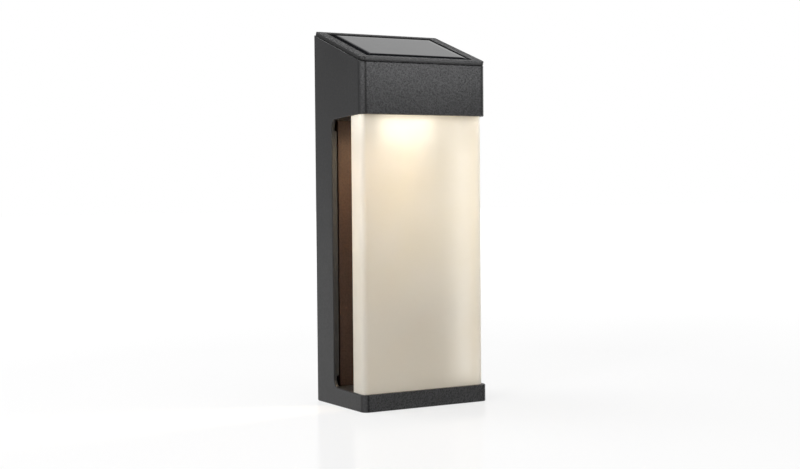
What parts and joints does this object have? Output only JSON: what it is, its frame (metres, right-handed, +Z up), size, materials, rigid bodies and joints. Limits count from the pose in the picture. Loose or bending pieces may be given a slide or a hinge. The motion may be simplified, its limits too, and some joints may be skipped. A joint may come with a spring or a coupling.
{
  "type": "solar wall light",
  "caption": "Wall light with a sloping solar lid, a C-shaped housing and a frosted front diffuser lit from the head by a board of light diodes.",
  "frame": {"origin": "middle of the rear face that lies on the wall", "axes": "+X to the right seen from the front, +Y into the wall, +Z up"},
  "size_m": [0.09, 0.0616, 0.2355],
  "materials": {
    "housing_plastic": "fine moulded grain",
    "lid_plastic": "fine moulded grain",
    "panel_plastic": "smooth moulded",
    "cover_plastic": "fine moulded grain",
    "diffuser_frosted": "frosted, lets light through",
    "clear_plastic": "clear moulded",
    "solar_sheet": "satin clear laminate",
    "solar_silicon": "dark silicon",
    "circuit_board": "solder mask",
    "screw_steel": "zinc plated",
    "contact_metal": "nickel plated",
    "seal_rubber": "matt",
    "bond_tape": "foam",
    "battery_wrap": "shrink sleeve",
    "led_phosphor": "lit, warm white",
    "chip_black": "moulded",
    "capacitor_can": "satin",
    "socket_cream": "moulded",
    "button_rubber": "satin",
    "plunger_plastic": "moulded",
    "lead_insulation": "insulated wire"
  },
  "bodies": {
    "light": {"main_housing": "housing_plastic", "solar_lid": "lid_plastic", "inner_panel": "panel_plastic", "rear_cover": "cover_plastic", "battery_door": "cover_plastic", "base_plate": "cover_plastic", "diffuser": "diffuser_frosted", "led_window": "clear_plastic", "solar_cover_sheet": "solar_sheet", "solar_cells": "solar_silicon", "control_board": "circuit_board", "led_board": "circuit_board", "switch_board": "circuit_board", "solar_backing_board": "circuit_board", "base_plate_screws": "screw_steel", "rear_cover_screws": "screw_steel", "battery_door_screws": "screw_steel", "led_board_screws": "screw_steel", "control_board_screws": "screw_steel", "switch_board_screws": "screw_steel", "battery_plus_contact": "contact_metal", "battery_spring_contact": "contact_metal", "rear_cover_seal": "seal_rubber", "battery_door_seal": "seal_rubber", "led_gasket": "seal_rubber", "lid_gasket": "seal_rubber", "solar_bond_tape": "bond_tape", "battery_cell": "battery_wrap", "led_chips": "led_phosphor", "control_chip": "chip_black", "control_choke": "chip_black", "power_switch": "chip_black", "control_capacitor": "capacitor_can", "lead_sockets": "socket_cream", "battery_leads": "lead_insulation", "led_leads": "lead_insulation", "switch_leads": "lead_insulation", "solar_leads": "lead_insulation"},
    "button": {"power_button": "button_rubber", "switch_plunger": "plunger_plastic"}
  },
  "joints": [
    {"name": "power_button_press", "type": "slide", "parent": "light", "child": "button", "axis": [0, -1, 0], "range_m": [0, 0.0015], "stiffness_N_per_m": 800, "springref_m": -0.0015}
  ]
}
